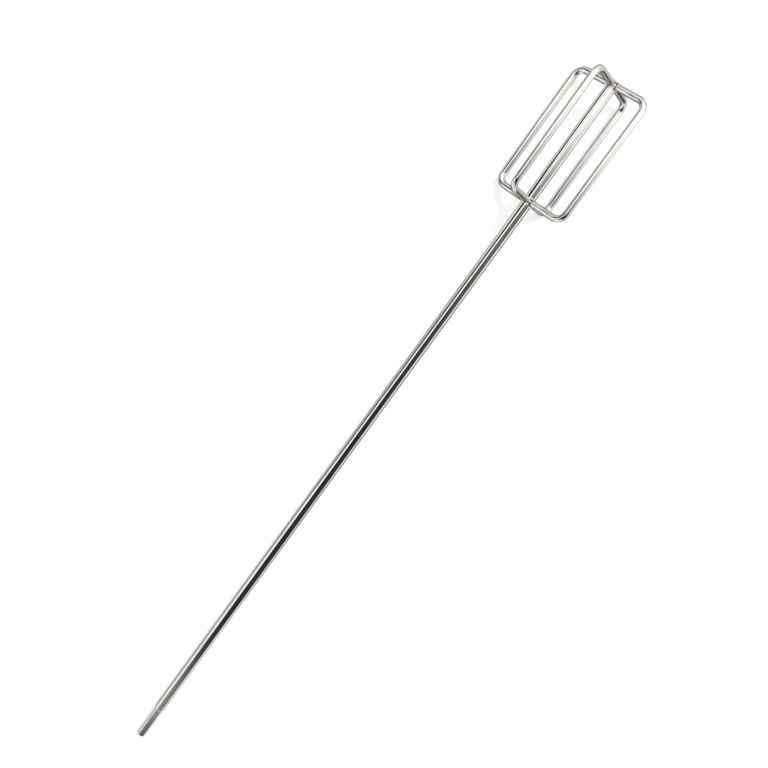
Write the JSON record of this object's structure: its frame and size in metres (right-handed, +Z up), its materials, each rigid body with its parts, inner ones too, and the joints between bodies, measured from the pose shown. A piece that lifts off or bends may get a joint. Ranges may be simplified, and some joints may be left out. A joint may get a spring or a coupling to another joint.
{
  "type": "mortar mixing paddle",
  "caption": "Plated steel mixing paddle for a drill: a long round bar with a hexagonal shank and a cage of bent wires welded round its far end.",
  "frame": {"origin": "middle of the underside of the paddle's box, on the floor that it lies on", "axes": "+Z up from the floor; +X along the paddle from the shank's end towards the cage, the bar rising 2.27 degrees above it; +Y across, with two wires of the cage above the bar and two below"},
  "size_m": [0.601, 0.0468, 0.0498],
  "materials": {
    "plated_bar": "bright plated ground steel bar, faint marks along its length",
    "plated_wire": "bright plated drawn steel wire",
    "plated_weld": "plated over lumpy weld metal, a little duller and warmer"
  },
  "bodies": {
    "root": {"drive_shaft": "plated_bar", "cage_wire_upper_left": "plated_wire", "cage_wire_upper_right": "plated_wire", "cage_wire_lower_right": "plated_wire", "cage_wire_lower_left": "plated_wire", "neck_weld_left": "plated_weld", "neck_weld_top": "plated_weld", "neck_weld_right": "plated_weld", "neck_weld_bottom": "plated_weld", "nose_weld_left": "plated_weld", "nose_weld_top": "plated_weld", "nose_weld_right": "plated_weld", "nose_weld_bottom": "plated_weld"}
  },
  "joints": []
}
